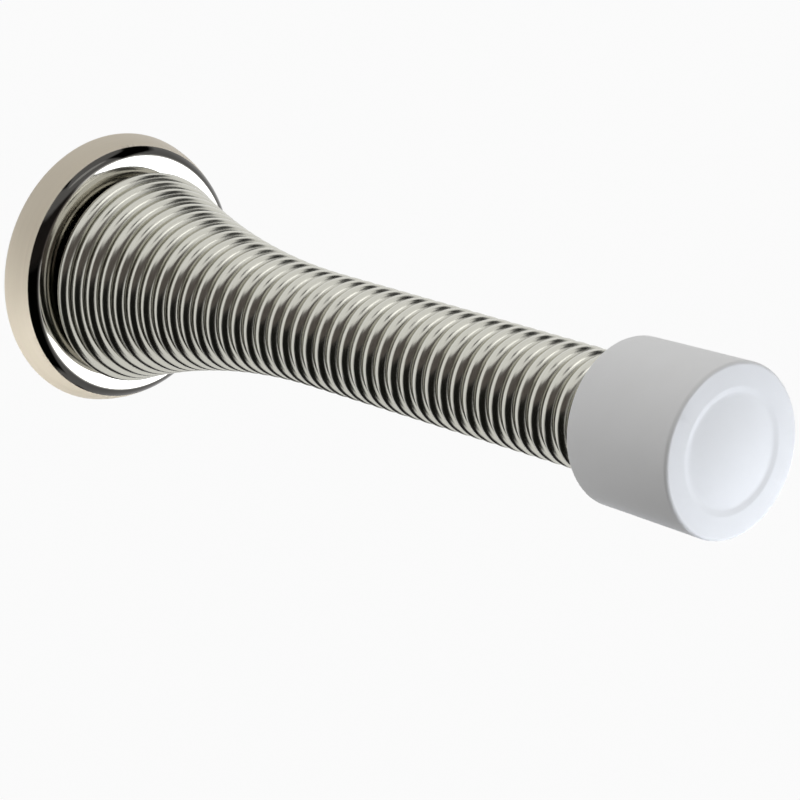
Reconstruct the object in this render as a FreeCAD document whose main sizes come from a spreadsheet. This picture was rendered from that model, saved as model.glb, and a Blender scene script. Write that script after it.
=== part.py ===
import FreeCAD, Part
import math
import os

import Sketcher
from FreeCAD import Placement, Rotation, Vector

# Spring door stop: a round plate that is screwed to a wall or skirting board, a close-wound spring
# that flares like a trumpet onto the plate's boss, and a soft cap pushed over the spring's far end.
# Each piece is drawn with its axis along +Z, away from the wall, and then turned to point to -Y.

# Driving dimensions, in millimetres and degrees
SIZES = [
    ("projection", 82.5, "wall to the foremost point of the cap"),
    ("plate_radius", 12.85, "plate, radius at the wall"),
    ("plate_front_radius", 11.95, "plate, radius where the side meets the bevel"),
    ("plate_side_height", 2.86, "height of the plate's side"),
    ("plate_side_crown", 9.0, "radius of the crown along the plate's side"),
    ("plate_back_round", 0.5, "rounding of the plate's edge at the wall"),
    ("plate_edge_round", 0.15, "rounding where the side meets the bevel"),
    ("plate_face_radius", 11.14, "radius where the bevel meets the flat face"),
    ("plate_face_height", 3.56, "height of the flat face"),
    ("bevel_crown", 2.0, "radius of the crown across the bevel"),
    ("relief_inner_radius", 4.8, "relief in the plate's back, inner radius"),
    ("relief_outer_radius", 10.6, "relief in the plate's back, outer radius"),
    ("relief_depth", 0.8, "relief in the plate's back, depth"),
    ("screw_hole_radius", 1.75, "clearance hole for the fixing screw"),
    ("screw_seat_radius", 3.0, "counterbore for the screw's flat-bottomed head"),
    ("screw_seat_height", 2.0, "height of the seat under the screw's head"),
    ("boss_height", 3.0, "boss above the flat face"),
    ("boss_clearance", 0.08, "between the boss and the coils wound on it"),
    ("boss_edge_round", 0.3, "rounding of the boss's top edge"),
    ("wire_diameter", 1.52, "spring wire"),
    ("mouth_gap", 0.026, "between neighbouring coils at the mouth"),
    ("tube_gap", 0.106, "between neighbouring coils along the straight run"),
    ("mouth_radius", 9.47, "wire centre at the first coil"),
    ("tube_radius", 4.46, "wire centre along the straight run"),
    ("flare_length", 27.2, "length of the flare along the axis"),
    ("seat_clearance", 0.05, "between the spring's ends and what they meet"),
    ("start_angle", 341.0, "where round the plate the wire begins"),
    ("cap_length", 12.1, "cap, from its back edge to its foremost point"),
    ("cap_back_radius", 7.26, "cap, outside radius at the back"),
    ("cap_front_radius", 7.5, "cap, outside radius at the front"),
    ("cap_back_round", 0.3, "rounding of the cap's back edge"),
    ("cap_front_round", 0.35, "rounding of the cap's front edge"),
    ("socket_depth", 8.7, "depth of the socket in the cap"),
    ("socket_clearance", 0.1, "between the socket and the coils"),
    ("socket_edge_round", 0.3, "rounding of the socket's mouth"),
    ("dome_radius", 4.6, "radius of the dome on the cap's face"),
    ("dome_height", 0.27, "rise of the dome above the valley round it"),
    ("valley_width", 0.3, "floor of the valley"),
    ("rim_slope_width", 0.5, "width of the slope from the valley to the rim"),
    ("rim_height", 0.12, "rise of the rim above the valley"),
    ("face_round", 1.0, "rounding of the valley's edges"),
]

AXIS_TO_ROOM = Placement(Vector(0, 0, 0), Rotation(Vector(1, 0, 0), 90))
EDGES_PER_TURN = 4
SAME_PLACE = 1e-4

doc = FreeCAD.newDocument("spring_door_stop")
sheet = doc.addObject("Spreadsheet::Sheet", "sizes")
for row, (alias, value, note) in enumerate(SIZES, start=1):
    sheet.set("A%d" % row, note)
    sheet.set("B%d" % row, str(value))
    sheet.setAlias("B%d" % row, alias)
doc.recompute()


def number(expression):
    """The present value of an expression over the sheet's cells."""
    return float(sheet.evalExpression(expression))


# Heights and radii that more than one piece shares, as expressions over the sheet's cells
WIRE_RADIUS = "(sizes.wire_diameter / 2)"
MOUTH_PITCH = "(sizes.wire_diameter + sizes.mouth_gap)"
TUBE_PITCH = "(sizes.wire_diameter + sizes.tube_gap)"
FIRST_COIL = "(sizes.plate_face_height + %s + sizes.seat_clearance)" % WIRE_RADIUS
FLARE_END = "(%s + sizes.flare_length)" % FIRST_COIL
FLARE_DROP = "(sizes.mouth_radius - sizes.tube_radius)"
FLARE_ARC = "((sizes.flare_length ^ 2 + %s ^ 2) / (2 * %s))" % (FLARE_DROP, FLARE_DROP)
BOSS_TOP = "(sizes.plate_face_height + sizes.boss_height)"
CAP_BACK = "(sizes.projection - sizes.cap_length)"
SOCKET_FLOOR = "(%s + sizes.socket_depth)" % CAP_BACK
SOCKET_RADIUS = "(sizes.tube_radius + %s + sizes.socket_clearance)" % WIRE_RADIUS
LAST_COIL = "(%s - sizes.seat_clearance - %s)" % (SOCKET_FLOOR, WIRE_RADIUS)


def add_arc(sketch, here, there, radius):
    """Adds an arc from here to there with its centre on the left, or on the right if radius is negative.

    Returns its index and the numbers of its points at here and there.
    """
    chord = there - here
    left = Vector(-chord.y, chord.x, 0).normalize()
    rise = math.sqrt(radius ** 2 - (chord.Length / 2) ** 2)
    centre = (here + there) * 0.5 + left * math.copysign(rise, radius)
    first, last = (here, there) if radius > 0 else (there, here)
    angles = [math.atan2(p.y - centre.y, p.x - centre.x) for p in (first, last)]
    if angles[1] < angles[0]:
        angles[1] += 2 * math.pi
    circle = Part.Circle(centre, Vector(0, 0, 1), abs(radius))
    index = sketch.addGeometry(Part.ArcOfCircle(circle, *angles), False)
    return (index, 1, 2) if radius > 0 else (index, 2, 1)


def bind(sketch, kind, *where, to):
    """Adds a dimension to the sketch and binds it to an expression."""
    index = sketch.addConstraint(Sketcher.Constraint(kind, *where, number(to)))
    sketch.setExpression("Constraints[%d]" % index, to)


def turned_body(label, corners, arcs):
    """A body turned about its axis from a closed half section.

    corners are expressions for radius and height, in order round the section. arcs gives, for the
    index of a corner, the signed radius of the arc from that corner to the next.
    """
    body = doc.addObject("PartDesign::Body", label)
    sketch = body.newObject("Sketcher::SketchObject", label + "_section")
    plane = next(f for f in body.Origin.OriginFeatures if f.Role == "XZ_Plane")
    sketch.AttachmentSupport = [(plane, "")]
    sketch.MapMode = "FlatFace"
    places = [Vector(number(r), number(z), 0) for r, z in corners]
    pieces = []
    for i, here in enumerate(places):
        there = places[(i + 1) % len(places)]
        if i in arcs:
            pieces.append(add_arc(sketch, here, there, number(arcs[i])))
        else:
            pieces.append((sketch.addGeometry(Part.LineSegment(here, there), False), 1, 2))
    for i, (index, start, _) in enumerate(pieces):
        before, _, end = pieces[i - 1]
        sketch.addConstraint(Sketcher.Constraint("Coincident", before, end, index, start))
        radius, height = corners[i]
        bind(sketch, "DistanceX", -1, 1, index, start, to=radius)
        bind(sketch, "DistanceY", -1, 1, index, start, to=height)
    for i, radius in arcs.items():
        bind(sketch, "Radius", pieces[i][0], to="abs(%s)" % radius)
    turned = body.newObject("PartDesign::Revolution", label + "_turned")
    turned.Profile = sketch
    turned.ReferenceAxis = (sketch, ["V_Axis"])
    turned.Angle = 360
    doc.recompute()
    return body


def round_edges(body, name, edges, radius):
    """Rounds the circular edges of the body that lie at the given radii and heights."""
    base = body.Tip
    wanted = [(number(r), number(z)) for r, z in edges]
    found = []
    for i, edge in enumerate(base.Shape.Edges, start=1):
        if edge.Degenerated or not isinstance(edge.Curve, Part.Circle):
            continue
        ring = (edge.Curve.Radius, edge.Curve.Center.z)
        if any(math.dist(ring, place) < SAME_PLACE for place in wanted):
            found.append("Edge%d" % i)
    rounded = body.newObject("PartDesign::Fillet", name)
    rounded.Base = (base, found)
    rounded.setExpression("Radius", radius)
    doc.recompute()


def boss_radius(height):
    """Expression for the boss's radius, which keeps its clearance from the flared coils."""
    reach = "(%s + %s + sizes.boss_clearance)" % (FLARE_ARC, WIRE_RADIUS)
    drop = "(%s - %s)" % (FLARE_END, height)
    return "sizes.tube_radius + %s - sqrt(%s ^ 2 - %s ^ 2)" % (FLARE_ARC, reach, drop)


def make_base_plate():
    face = "sizes.plate_face_height"
    side_edge = ("sizes.plate_front_radius", "sizes.plate_side_height")
    back_edge = ("sizes.plate_radius", "0")
    top_edge = (boss_radius(BOSS_TOP), BOSS_TOP)
    corners = [
        ("sizes.screw_hole_radius", "0"),
        ("sizes.relief_inner_radius", "0"),
        ("sizes.relief_inner_radius", "sizes.relief_depth"),
        ("sizes.relief_outer_radius", "sizes.relief_depth"),
        ("sizes.relief_outer_radius", "0"),
        ("sizes.plate_radius", "0"),
        side_edge,
        ("sizes.plate_face_radius", face),
        (boss_radius(face), face),
        top_edge,
        ("sizes.screw_seat_radius", BOSS_TOP),
        ("sizes.screw_seat_radius", "sizes.screw_seat_height"),
        ("sizes.screw_hole_radius", "sizes.screw_seat_height"),
    ]
    arcs = {
        5: "sizes.plate_side_crown",
        6: "sizes.bevel_crown",
        8: "-(%s + %s + sizes.boss_clearance)" % (FLARE_ARC, WIRE_RADIUS),
    }
    body = turned_body("base_plate", corners, arcs)
    round_edges(body, "back_edge", [back_edge], "sizes.plate_back_round")
    round_edges(body, "side_edge", [side_edge], "sizes.plate_edge_round")
    round_edges(body, "boss_edge", [top_edge], "sizes.boss_edge_round")
    return body


def make_rubber_cap():
    valley = "(sizes.projection - sizes.dome_height)"
    rim = "(%s + sizes.rim_height)" % valley
    valley_edge = "(sizes.dome_radius + sizes.valley_width)"
    rim_edge = "(%s + sizes.rim_slope_width)" % valley_edge
    corners = [
        ("0", SOCKET_FLOOR),
        (SOCKET_RADIUS, SOCKET_FLOOR),
        (SOCKET_RADIUS, CAP_BACK),
        ("sizes.cap_back_radius", CAP_BACK),
        ("sizes.cap_front_radius", rim),
        (rim_edge, rim),
        (valley_edge, valley),
        ("sizes.dome_radius", valley),
        ("0", "sizes.projection"),
    ]
    arcs = {7: "(sizes.dome_radius ^ 2 + sizes.dome_height ^ 2) / (2 * sizes.dome_height)"}
    body = turned_body("rubber_cap", corners, arcs)
    face_edges = [(rim_edge, rim), (valley_edge, valley), ("sizes.dome_radius", valley)]
    round_edges(body, "face_edges", face_edges, "sizes.face_round")
    round_edges(body, "front_edge", [("sizes.cap_front_radius", rim)], "sizes.cap_front_round")
    round_edges(body, "rear_edge", [("sizes.cap_back_radius", CAP_BACK)], "sizes.cap_back_round")
    round_edges(body, "socket_edge", [(SOCKET_RADIUS, CAP_BACK)], "sizes.socket_edge_round")
    return body


def coil_plan():
    """The flare's arc radius and angle, the pitch at its mouth and on the tube, and its turns."""
    arc = number(FLARE_ARC)
    sweep = math.asin(number("sizes.flare_length") / arc)
    mouth_pitch = number(MOUTH_PITCH)
    tube_pitch = number(TUBE_PITCH)
    flare_turns = 2 * arc * sweep / (mouth_pitch + tube_pitch)
    return arc, sweep, mouth_pitch, tube_pitch, flare_turns


def coil_state(turns):
    """Place of the wire's centre after so many turns, and its first and second derivative by turns.

    Seen from the side the coils follow an arc that runs into a straight line, and their pitch along
    it grows evenly over the arc. The wire winds to the left, so its angle falls as it leaves the plate.
    """
    arc, sweep, mouth_pitch, tube_pitch, flare_turns = coil_plan()
    flared = min(turns, flare_turns)
    pitch = mouth_pitch + (tube_pitch - mouth_pitch) * flared / flare_turns
    lean = sweep - (mouth_pitch + pitch) / 2 * flared / arc
    radius = number("sizes.tube_radius") + arc * (1 - math.cos(lean))
    height = number(FLARE_END) - arc * math.sin(lean) + (turns - flared) * tube_pitch
    on_flare = 1 if turns < flare_turns else 0
    bend = on_flare / arc
    growth = on_flare * (tube_pitch - mouth_pitch) / flare_turns
    spin = -2 * math.pi
    angle = math.radians(number("sizes.start_angle")) + spin * turns
    outward = Vector(math.cos(angle), math.sin(angle), 0)
    around = Vector(-math.sin(angle), math.cos(angle), 0)
    up = Vector(0, 0, 1)
    inward_rate = -pitch * math.sin(lean)
    place = outward * radius + up * height
    first = outward * inward_rate + around * (radius * spin) + up * (pitch * math.cos(lean))
    second = (
        outward * (pitch ** 2 * math.cos(lean) * bend - growth * math.sin(lean) - radius * spin ** 2)
        + around * (2 * inward_rate * spin)
        + up * (pitch ** 2 * math.sin(lean) * bend + growth * math.cos(lean))
    )
    return place, first, second


def coil_edge(start, stop):
    """One stretch of the wire's path, with the path's own place, slope and curvature at both ends."""
    span = stop - start
    here, slope_here, curve_here = coil_state(start)
    there, slope_there, curve_there = coil_state(stop)
    curve = Part.BezierCurve()
    curve.setPoles([
        here,
        here + slope_here * (span / 5),
        here + slope_here * (2 * span / 5) + curve_here * (span ** 2 / 20),
        there - slope_there * (2 * span / 5) + curve_there * (span ** 2 / 20),
        there - slope_there * (span / 5),
        there,
    ])
    return curve.toShape()


def make_coil_spring():
    *_, tube_pitch, flare_turns = coil_plan()
    total_turns = flare_turns + (number(LAST_COIL) - number(FLARE_END)) / tube_pitch
    count = math.ceil(total_turns * EDGES_PER_TURN)
    step = total_turns / count
    path = doc.addObject("Part::Feature", "coil_path")
    path.Shape = Part.Wire([coil_edge(k * step, (k + 1) * step) for k in range(count)])
    place, direction, _ = coil_state(0)
    section = doc.addObject("Part::Circle", "wire_section")
    section.setExpression("Radius", WIRE_RADIUS)
    section.Placement = Placement(place, Rotation(Vector(0, 0, 1), direction))
    spring = doc.addObject("Part::Sweep", "coil_spring")
    spring.Sections = [section]
    spring.Spine = (path, ["Edge%d" % i for i in range(1, count + 1)])
    spring.Solid = True
    spring.Frenet = True
    doc.recompute()
    return spring


pieces = {
    "base_plate": make_base_plate(),
    "coil_spring": make_coil_spring(),
    "rubber_cap": make_rubber_cap(),
}
for label, piece in pieces.items():
    piece.Label = label
    piece.Placement = AXIS_TO_ROOM
doc.recompute()

for item in doc.Objects:
    if "Invalid" in item.State or "Error" in item.State:
        raise RuntimeError("%s did not build" % item.Name)
for label, piece in pieces.items():
    if piece.Shape.isNull() or not piece.Shape.isValid():
        raise RuntimeError("%s has no valid shape" % label)

os.makedirs("parts", exist_ok=True)
for label, piece in pieces.items():
    piece.Shape.exportStep("parts/%s.step" % label)
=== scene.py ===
import math

import bpy
import numpy as np
from mathutils import Matrix, Vector


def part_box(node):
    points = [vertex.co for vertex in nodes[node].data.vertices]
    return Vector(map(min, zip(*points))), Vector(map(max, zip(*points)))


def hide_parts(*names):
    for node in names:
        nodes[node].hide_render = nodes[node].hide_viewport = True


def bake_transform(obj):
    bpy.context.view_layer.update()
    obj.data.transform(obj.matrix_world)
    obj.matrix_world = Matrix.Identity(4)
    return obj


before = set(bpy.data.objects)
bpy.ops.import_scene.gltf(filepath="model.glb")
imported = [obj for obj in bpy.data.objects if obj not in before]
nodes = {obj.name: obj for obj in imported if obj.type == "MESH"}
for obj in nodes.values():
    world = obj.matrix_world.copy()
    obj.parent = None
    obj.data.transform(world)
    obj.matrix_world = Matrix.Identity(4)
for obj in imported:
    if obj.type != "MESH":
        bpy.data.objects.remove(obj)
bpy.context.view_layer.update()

# Lengths are in metres and angles in degrees. A direction is an azimuth, from the wall's side (+Y)
# towards +X, and an elevation above the horizon.

# Spring; where it starts and ends along the axis comes from the box of the coil_spring part
WIRE_DIAMETER = 0.00152
MOUTH_PITCH = 0.001546
TUBE_PITCH = 0.001626
MOUTH_RADIUS = 0.00947
TUBE_RADIUS = 0.00446
FLARE_LENGTH = 0.0272
START_ANGLE = 341.0
WIRE_SIDES = 16
RINGS_PER_TURN = 96

# Depths on the plate at which its polished bevel and its flat face start, and half the width of the change
POLISHED_FROM = 0.00286
FACE_FROM = 0.00352
FINISH_BLUR = 0.00004

# Points of the cap's mesh that lie nearer to each other than this become one
WELD_DISTANCE = 0.000001

# Finishes; a pair is the two ends between which a noise varies a colour or a roughness
WIRE_COLOURS = ((0.52, 0.512, 0.455), (0.66, 0.652, 0.59))
WIRE_ROUGHNESS = (0.14, 0.28)
SATIN_COLOURS = ((0.64, 0.57, 0.455), (0.73, 0.655, 0.53))
SATIN_ROUGHNESS = (0.36, 0.52)
SATIN_METALLIC = 0.15
# The bevel's metal is near black, so it shows as a dark ring all round whatever it faces
BEVEL_COLOURS = ((0.06, 0.058, 0.054), (0.085, 0.082, 0.077))
FACE_COLOURS = ((0.62, 0.60, 0.55), (0.66, 0.645, 0.60))
POLISHED_ROUGHNESS = (0.04, 0.09)
RUBBER_COLOURS = ((0.79, 0.79, 0.785), (0.83, 0.83, 0.83))
RUBBER_ROUGHNESS = (0.48, 0.6)
RUBBER_SPECULAR = 0.3

# How fine the noise is: to the metre, but for the streaks to the metre along the wire and to its girth
STREAK_SCALE = (60.0, 36.0, 1.0)
BRUSHING_SCALE = (120.0, 9000.0, 120.0)
PLATE_CLOUD_SCALE = 260.0
RUBBER_CLOUD_SCALE = 350.0
RUBBER_GRAIN_SCALE = 9000.0
NOISE_MIDDLE = 0.5

# Camera: the aim point lies on the stop's axis and is seen at the aim pixel of a square picture
PICTURE_PIXELS = 800
FOCAL_PIXELS = 4348.0
SENSOR_MILLIMETRES = 36.0
CAMERA_AZIMUTH = -138.99
CAMERA_ELEVATION = 15.73
CAMERA_DISTANCE = 0.38195
CLIP_START = 0.01
AIM_POINT = Vector((0.0, -0.0398, 0.0))
AIM_PIXEL = (387.5, 348.5)

# Floor, far below the object: its own grey, and the share of plain white in what is seen of it
FLOOR_DEPTH = 0.6
FLOOR_SIZE = 8.0
FLOOR_GREY = (0.5, 0.5, 0.5)
FLOOR_ROUGHNESS = 0.9
FLOOR_WHITE_SHARE = 0.95

# Room: its strength as light on the object, up to the horizon and straight above
ROOM_LOW = 0.38
ROOM_HIGH = 0.43

# Cards: dark sheets round the object that only reflections show, each a little further out than the last
CARD_CENTRE = Vector((0.0, -0.04, 0.0))
CARD_DISTANCE = 0.55
CARD_SPACING = 0.01
CARD_ROWS = 49
CARDS = {
    "left": {
        "azimuth": (-160, -66), "elevation": (-80, 6), "fade": (12, 6), "lean": (0, 48),
        "shade": (0.02, 0.02, 0.017),
    },
    "left_edge": {
        "azimuth": (-192, -57), "elevation": (-4, 42), "fade": (14, 7),
        "shade": (0.32, 0.28, 0.26),
    },
    "low_back": {
        "azimuth": (-78, 48), "elevation": (-86, -34), "fade": (8, 10),
        "shade": (0.03, 0.03, 0.03),
    },
    "right_high": {
        "azimuth": (64, 142), "elevation": (37, 62), "fade": (5, 4),
        "shade": (0.02, 0.02, 0.02),
    },
    "right_front": {
        "azimuth": (118, 152), "elevation": (2, 36), "fade": (6, 6),
        "shade": (0.02, 0.02, 0.02),
    },
    "overhead": {
        "azimuth": (-145, -92), "elevation": (60, 77), "fade": (6, 3),
        "shade": (0.03, 0.03, 0.03),
    },
}

# Lamps: each shines at the middle of a node from a direction
COOL_WHITE = (0.86, 0.91, 1.0)
LAMPS = {
    "key": {
        "aim": "base_plate", "toward": (139, -16), "distance": 0.5, "size": (0.22, 0.22),
        "power": 0.36, "colour": COOL_WHITE,
    },
    "strip": {
        "aim": "coil_spring", "toward": (176, 60), "distance": 0.5, "size": (0.30, 0.08),
        "power": 0.085,
    },
    "face": {
        "aim": "rubber_cap", "toward": (140, -38), "distance": 0.06, "size": (0.04, 0.04),
        "power": 0.034, "colour": COOL_WHITE, "in_metal": False,
    },
    "top": {
        "aim": "rubber_cap", "toward": (-60, 75), "distance": 0.10, "size": (0.08, 0.08),
        "power": 0.022, "in_metal": False,
    },
    "low": {
        "aim": "base_plate", "toward": (-100, -40), "distance": 0.06, "size": (0.04, 0.04),
        "power": 0.026, "in_metal": False,
    },
}


# Nodes that the materials share

def new_material(name):
    """A material whose node tree holds only an output and a Principled shader."""
    material = bpy.data.materials.new(name)
    material.use_nodes = True
    shader = material.node_tree.nodes["Principled BSDF"]
    return material, material.node_tree, shader


def add_node(tree, kind, **settings):
    """Adds a node and sets its inputs by their names, or its properties where no input has the name."""
    node = tree.nodes.new(kind)
    for name, value in settings.items():
        if name in node.inputs.keys():
            node.inputs[name].default_value = value
        else:
            setattr(node, name, value)
    return node


def stretched(tree, place, scale):
    """A place with each of its axes scaled on its own."""
    mapping = add_node(tree, "ShaderNodeMapping", Scale=scale)
    tree.links.new(place, mapping.inputs["Vector"])
    return mapping.outputs["Vector"]


def noise(tree, place, **settings):
    """A value from 0 to 1 that wanders from place to place."""
    texture = add_node(tree, "ShaderNodeTexNoise", **settings)
    tree.links.new(place, texture.inputs["Vector"])
    return texture.outputs["Fac"]


def spread(tree, value, low, high):
    """A value from 0 to 1 brought to run from low to high."""
    span = add_node(tree, "ShaderNodeMapRange")
    span.inputs["To Min"].default_value = low
    span.inputs["To Max"].default_value = high
    tree.links.new(value, span.inputs["Value"])
    return span.outputs["Result"]


def shades(tree, value, first, second):
    """A colour between two, by a value from 0 to 1."""
    mix = add_node(tree, "ShaderNodeMix", data_type="RGBA")
    mix.inputs["A"].default_value = (*first, 1)
    mix.inputs["B"].default_value = (*second, 1)
    tree.links.new(value, mix.inputs["Factor"])
    return mix.outputs["Result"]


def blended(tree, factor, first, second, data_type):
    """The first of two outputs where the factor is 0, and the second where it is 1."""
    mix = add_node(tree, "ShaderNodeMix", data_type=data_type)
    tree.links.new(factor, mix.inputs["Factor"])
    tree.links.new(first, mix.inputs["A"])
    tree.links.new(second, mix.inputs["B"])
    return mix.outputs["Result"]


def fading_to(tree, factor, first, constant):
    """A number where the factor is 0, and a constant where it is 1."""
    mix = add_node(tree, "ShaderNodeMix", data_type="FLOAT")
    mix.inputs["B"].default_value = constant
    tree.links.new(factor, mix.inputs["Factor"])
    tree.links.new(first, mix.inputs["A"])
    return mix.outputs["Result"]


def bump_from(tree, height, shader, strength, distance):
    """Leads a height through a bump node to the shader's normal."""
    bump = add_node(tree, "ShaderNodeBump", Strength=strength, Distance=distance)
    tree.links.new(height, bump.inputs["Height"])
    tree.links.new(bump.outputs["Normal"], shader.inputs["Normal"])


def mixed_surface(tree, factor, first, second):
    """Makes the surface the first shader where the factor is 0, and the second where it is 1."""
    mix = add_node(tree, "ShaderNodeMixShader")
    tree.links.new(factor, mix.inputs[0])
    tree.links.new(first.outputs[0], mix.inputs[1])
    tree.links.new(second.outputs[0], mix.inputs[2])
    tree.links.new(mix.outputs[0], tree.nodes["Material Output"].inputs["Surface"])


# The object

def spring_path():
    """Places of the wire's centre, two directions across the wire, and turns, ring by ring from the plate.

    Seen from the side the coils follow an arc that runs into a straight line; along the arc the pitch
    grows from that of the mouth to that of the tube.
    """
    lowest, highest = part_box("coil_spring")
    first_coil = -highest.y + WIRE_DIAMETER / 2
    last_coil = -lowest.y - WIRE_DIAMETER / 2
    drop = MOUTH_RADIUS - TUBE_RADIUS
    arc = (FLARE_LENGTH ** 2 + drop ** 2) / (2 * drop)
    sweep = math.asin(FLARE_LENGTH / arc)
    flare_end = first_coil + FLARE_LENGTH
    flare_turns = 2 * arc * sweep / (MOUTH_PITCH + TUBE_PITCH)
    all_turns = flare_turns + (last_coil - flare_end) / TUBE_PITCH
    turns = np.linspace(0, all_turns, math.ceil(all_turns * RINGS_PER_TURN) + 1)
    flared = np.minimum(turns, flare_turns)
    pitch = MOUTH_PITCH + (TUBE_PITCH - MOUTH_PITCH) * flared / flare_turns
    lean = sweep - (MOUTH_PITCH + pitch) / 2 * flared / arc
    radius = TUBE_RADIUS + arc * (1 - np.cos(lean))
    depth = flare_end - arc * np.sin(lean) + (turns - flared) * TUBE_PITCH
    angle = math.radians(START_ANGLE) - 2 * math.pi * turns
    zero = np.zeros_like(angle)
    outward = np.stack([np.cos(angle), zero, np.sin(angle)], 1)
    around = np.stack([np.sin(angle), zero, -np.cos(angle)], 1)
    rise = np.stack([zero, -np.cos(lean), zero], 1) - outward * np.sin(lean)[:, None]
    places = outward * radius[:, None] + np.stack([zero, -depth, zero], 1)
    tangent = around * (2 * math.pi * radius)[:, None] + rise * pitch[:, None]
    tangent /= np.linalg.norm(tangent, axis=1)[:, None]
    across = outward - tangent * np.sum(outward * tangent, 1)[:, None]
    across /= np.linalg.norm(across, axis=1)[:, None]
    return places, across, np.cross(tangent, across), turns


def make_spring():
    """The wire as one closed tube, with a flat cut at both ends and a map along it and round it."""
    places, across, sideways, turns = spring_path()
    section = np.linspace(0, 2 * math.pi, WIRE_SIDES, endpoint=False)
    ring = (np.cos(section)[None, :, None] * across[:, None, :]
            + np.sin(section)[None, :, None] * sideways[:, None, :])
    points = (places[:, None, :] + ring * WIRE_DIAMETER / 2).reshape(-1, 3)
    # Length along the wire, as if all of its turns were on the tube
    length = 2 * math.pi * TUBE_RADIUS * turns
    faces = []
    corners = []
    for i in range(len(places) - 1):
        here, there = i * WIRE_SIDES, (i + 1) * WIRE_SIDES
        for j in range(WIRE_SIDES):
            k = (j + 1) % WIRE_SIDES
            faces.append((here + j, here + k, there + k, there + j))
            near, far = j / WIRE_SIDES, (j + 1) / WIRE_SIDES
            corners += [(length[i], near), (length[i], far), (length[i + 1], far), (length[i + 1], near)]
    last = (len(places) - 1) * WIRE_SIDES
    ends = [tuple(range(WIRE_SIDES - 1, -1, -1)), tuple(range(last, last + WIRE_SIDES))]
    corners += [(0, 0)] * (WIRE_SIDES * len(ends))
    mesh = bpy.data.meshes.new("spring_wire")
    mesh.from_pydata(points.tolist(), [], faces + ends)
    mesh.polygons.foreach_set("use_smooth", [True] * len(faces) + [False] * len(ends))
    mesh.uv_layers.new(name="wire").data.foreach_set("uv", np.ravel(corners))
    mesh.update()
    spring = bpy.data.objects.new("spring_wire", mesh)
    bpy.context.scene.collection.objects.link(spring)
    return spring


def nickel_wire():
    """Bright nickel on drawn wire, with faint streaks along it."""
    material, tree, shader = new_material("nickel_wire")
    place = add_node(tree, "ShaderNodeUVMap", uv_map="wire").outputs["UV"]
    streaks = noise(tree, stretched(tree, place, STREAK_SCALE), Scale=1.0, Detail=4.0, Roughness=0.6)
    tree.links.new(shades(tree, streaks, *WIRE_COLOURS), shader.inputs["Base Color"])
    tree.links.new(spread(tree, streaks, *WIRE_ROUGHNESS), shader.inputs["Roughness"])
    shader.inputs["Metallic"].default_value = 1.0
    bump_from(tree, streaks, shader, strength=0.3, distance=0.00003)
    return material


def deeper_than(tree, y, depth):
    """0 on the wall's side of a depth along the stop and 1 beyond it."""
    step = add_node(tree, "ShaderNodeMapRange")
    step.inputs["From Min"].default_value = -depth + FINISH_BLUR
    step.inputs["From Max"].default_value = -depth - FINISH_BLUR
    tree.links.new(y, step.inputs["Value"])
    return step.outputs["Result"]


def nickel_plate():
    """Satin nickel on the plate's side, brushed along its edge, a dark polished bevel and a bright face."""
    material, tree, shader = new_material("nickel_plate")
    place = add_node(tree, "ShaderNodeTexCoord").outputs["Object"]
    axes = add_node(tree, "ShaderNodeSeparateXYZ")
    tree.links.new(place, axes.inputs["Vector"])
    polish = deeper_than(tree, axes.outputs["Y"], POLISHED_FROM)
    flat = deeper_than(tree, axes.outputs["Y"], FACE_FROM)
    brushing = noise(tree, stretched(tree, place, BRUSHING_SCALE), Scale=1.0, Detail=4.0, Roughness=0.6)
    clouds = noise(tree, place, Scale=PLATE_CLOUD_SCALE, Detail=3.0)

    satin = shades(tree, brushing, *SATIN_COLOURS)
    dark = shades(tree, clouds, *BEVEL_COLOURS)
    bright = shades(tree, clouds, *FACE_COLOURS)
    front = blended(tree, flat, dark, bright, "RGBA")
    tree.links.new(blended(tree, polish, satin, front, "RGBA"), shader.inputs["Base Color"])

    rough = spread(tree, brushing, *SATIN_ROUGHNESS)
    smooth = spread(tree, clouds, *POLISHED_ROUGHNESS)
    tree.links.new(blended(tree, polish, rough, smooth, "FLOAT"), shader.inputs["Roughness"])
    tree.links.new(spread(tree, polish, SATIN_METALLIC, 1.0), shader.inputs["Metallic"])
    grain = fading_to(tree, polish, brushing, NOISE_MIDDLE)
    bump_from(tree, grain, shader, strength=0.2, distance=0.00002)
    return material


def white_rubber():
    """Moulded white rubber: a fine matt grain, and faint cloudiness."""
    material, tree, shader = new_material("white_rubber")
    place = add_node(tree, "ShaderNodeTexCoord").outputs["Object"]
    clouds = noise(tree, place, Scale=RUBBER_CLOUD_SCALE, Detail=4.0)
    grain = noise(tree, place, Scale=RUBBER_GRAIN_SCALE, Detail=2.0)
    tree.links.new(shades(tree, clouds, *RUBBER_COLOURS), shader.inputs["Base Color"])
    tree.links.new(spread(tree, clouds, *RUBBER_ROUGHNESS), shader.inputs["Roughness"])
    shader.inputs["Specular IOR Level"].default_value = RUBBER_SPECULAR
    bump_from(tree, grain, shader, strength=0.12, distance=0.00003)
    return material


def dress(obj, material):
    """Gives an object one material in place of any that it has."""
    obj.data.materials.clear()
    obj.data.materials.append(material)


spring = make_spring()
dress(spring, nickel_wire())
dress(nodes["base_plate"], nickel_plate())
dress(nodes["rubber_cap"], white_rubber())
joined = nodes["rubber_cap"].modifiers.new("joined_halves", "WELD")
joined.merge_threshold = WELD_DISTANCE
nodes["rubber_cap"].modifiers.new("even_shading", "WEIGHTED_NORMAL")
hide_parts("coil_spring")
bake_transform(spring)


# The studio

def direction(azimuth, elevation):
    """The unit vector that points in a direction."""
    azimuth, elevation = math.radians(azimuth), math.radians(elevation)
    return Vector((
        math.sin(azimuth) * math.cos(elevation),
        math.cos(azimuth) * math.cos(elevation),
        math.sin(elevation),
    ))


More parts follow.
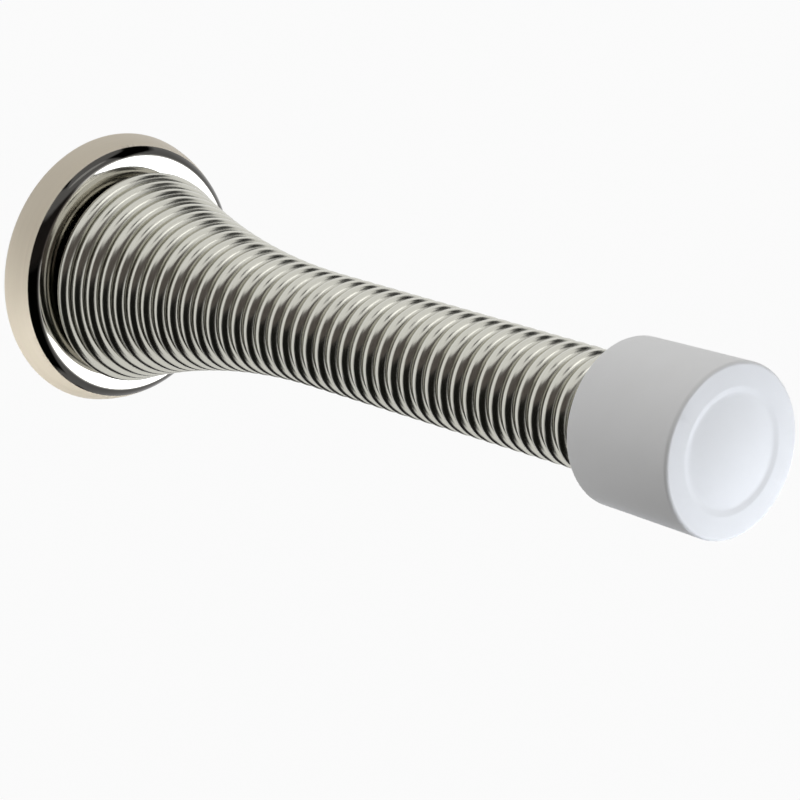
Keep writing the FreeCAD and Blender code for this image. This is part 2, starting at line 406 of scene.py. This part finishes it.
def seen_directly(tree):
    """1 for what the camera sees, itself, in a mirror or through glass, and 0 for scattered light."""
    path = add_node(tree, "ShaderNodeLightPath")
    reflected = add_node(tree, "ShaderNodeMath", operation="MAXIMUM")
    tree.links.new(path.outputs["Is Glossy Ray"], reflected.inputs[0])
    tree.links.new(path.outputs["Is Transmission Ray"], reflected.inputs[1])
    seen = add_node(tree, "ShaderNodeMath", operation="MAXIMUM")
    tree.links.new(path.outputs["Is Camera Ray"], seen.inputs[0])
    tree.links.new(reflected.outputs[0], seen.inputs[1])
    return seen.outputs[0]


def stage_mesh(name, points, faces, material):
    """A mesh that belongs to the studio and not to the object."""
    mesh = bpy.data.meshes.new(name)
    mesh.from_pydata(points, [], faces)
    mesh.materials.append(material)
    obj = bpy.data.objects.new(name, mesh)
    bpy.context.scene.collection.objects.link(obj)
    return obj


def make_floor():
    """A floor that is all but white where it is seen, and keeps a share of its own shading."""
    half = FLOOR_SIZE / 2
    corners = [(-half, -half), (half, -half), (half, half), (-half, half)]
    material, tree, shader = new_material("floor")
    shader.inputs["Base Color"].default_value = (*FLOOR_GREY, 1)
    shader.inputs["Roughness"].default_value = FLOOR_ROUGHNESS
    white = add_node(tree, "ShaderNodeEmission", Strength=1.0)
    share = add_node(tree, "ShaderNodeMath", operation="MULTIPLY")
    share.inputs[1].default_value = FLOOR_WHITE_SHARE
    tree.links.new(seen_directly(tree), share.inputs[0])
    mixed_surface(tree, share.outputs[0], shader, white)
    stage_mesh("floor", [(x, y, -FLOOR_DEPTH) for x, y in corners], [(0, 1, 2, 3)], material)


def make_card(name, distance, azimuth, elevation, fade, shade, lean=(0, 0)):
    """A dark sheet on a ball round the object, thinning out towards its edges, which only reflections show.

    Its azimuths hold at its upper edge, and lean tells how far they have moved at its lower edge.
    """
    shares = np.linspace(0, 1, CARD_ROWS)
    upward = elevation[0] + (elevation[1] - elevation[0]) * shares
    start = azimuth[0] + lean[0] * (1 - shares)
    width = azimuth[1] + lean[1] * (1 - shares) - start
    across = start[:, None] + width[:, None] * shares[None, :]
    points = [CARD_CENTRE + distance * direction(a, e) for e, row in zip(upward, across) for a in row]
    faces = []
    for i in range(CARD_ROWS - 1):
        for j in range(CARD_ROWS - 1):
            corner = i * CARD_ROWS + j
            faces.append((corner, corner + 1, corner + 1 + CARD_ROWS, corner + CARD_ROWS))
    from_edge = np.minimum(shares, 1 - shares)
    cover_across = np.clip(from_edge[None, :] * width[:, None] / fade[0], 0, 1)
    cover_upward = np.clip(from_edge * (elevation[1] - elevation[0]) / fade[1], 0, 1)
    cover = cover_across * cover_upward[:, None]
    material, tree, shader = new_material("card_" + name)
    shader.inputs["Base Color"].default_value = (*shade, 1)
    shader.inputs["Roughness"].default_value = 1.0
    shader.inputs["Specular IOR Level"].default_value = 0.0
    thickness = add_node(tree, "ShaderNodeAttribute", attribute_name="cover")
    clear = add_node(tree, "ShaderNodeBsdfTransparent")
    mixed_surface(tree, thickness.outputs["Fac"], clear, shader)
    card = stage_mesh("card_" + name, points, faces, material)
    card.data.attributes.new("cover", "FLOAT", "POINT").data.foreach_set("value", cover.ravel())
    card.visible_camera = False
    card.visible_diffuse = False
    card.visible_shadow = False


def make_lamp(name, aim, toward, distance, size, power, colour=(1, 1, 1), in_metal=True):
    """A flat lamp that shines at the middle of one of the nodes, and shows in metal or not."""
    data = bpy.data.lights.new(name, "AREA")
    data.shape = "ELLIPSE"
    data.size, data.size_y = size
    data.energy = power
    data.color = colour
    lamp = bpy.data.objects.new(name, data)
    bpy.context.scene.collection.objects.link(lamp)
    lowest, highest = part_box(aim)
    lamp.location = (lowest + highest) / 2 + distance * direction(*toward)
    lamp.rotation_euler = direction(*toward).to_track_quat("Z", "Y").to_euler()
    lamp.visible_camera = False
    lamp.visible_glossy = in_metal


def make_world():
    """White where it is seen; as light on the object it is dimmer, and more from above than from below."""
    world = bpy.data.worlds.new("studio")
    bpy.context.scene.world = world
    world.use_nodes = True
    tree = world.node_tree
    place = add_node(tree, "ShaderNodeTexCoord")
    axes = add_node(tree, "ShaderNodeSeparateXYZ")
    tree.links.new(place.outputs["Generated"], axes.inputs["Vector"])
    level = spread(tree, axes.outputs["Z"], ROOM_LOW, ROOM_HIGH)
    strength = fading_to(tree, seen_directly(tree), level, 1.0)
    background = tree.nodes["Background"]
    background.inputs["Color"].default_value = (1, 1, 1, 1)
    tree.links.new(strength, background.inputs["Strength"])


def make_camera():
    """A camera that looks along its direction and stands aside, so that the aim point meets its pixel."""
    back = direction(CAMERA_AZIMUTH, CAMERA_ELEVATION)
    right = Vector((0, 0, 1)).cross(back).normalized()
    up = back.cross(right)
    size_of_pixel = CAMERA_DISTANCE / FOCAL_PIXELS
    aside = (AIM_PIXEL[0] - PICTURE_PIXELS / 2) * size_of_pixel
    above = (PICTURE_PIXELS / 2 - AIM_PIXEL[1]) * size_of_pixel
    data = bpy.data.cameras.new("camera")
    data.sensor_width = SENSOR_MILLIMETRES
    data.lens = SENSOR_MILLIMETRES * FOCAL_PIXELS / PICTURE_PIXELS
    data.clip_start = CLIP_START
    camera = bpy.data.objects.new("camera", data)
    bpy.context.scene.collection.objects.link(camera)
    turn = Matrix((right, up, back)).transposed().to_4x4()
    place = AIM_POINT + back * CAMERA_DISTANCE - right * aside - up * above
    camera.matrix_world = Matrix.Translation(place) @ turn
    bpy.context.scene.camera = camera


make_floor()
for rank, (name, card) in enumerate(CARDS.items()):
    make_card(name, CARD_DISTANCE + rank * CARD_SPACING, **card)
for name, lamp in LAMPS.items():
    make_lamp(name, **lamp)
make_world()
make_camera()
bpy.context.scene.view_settings.view_transform = "Standard"
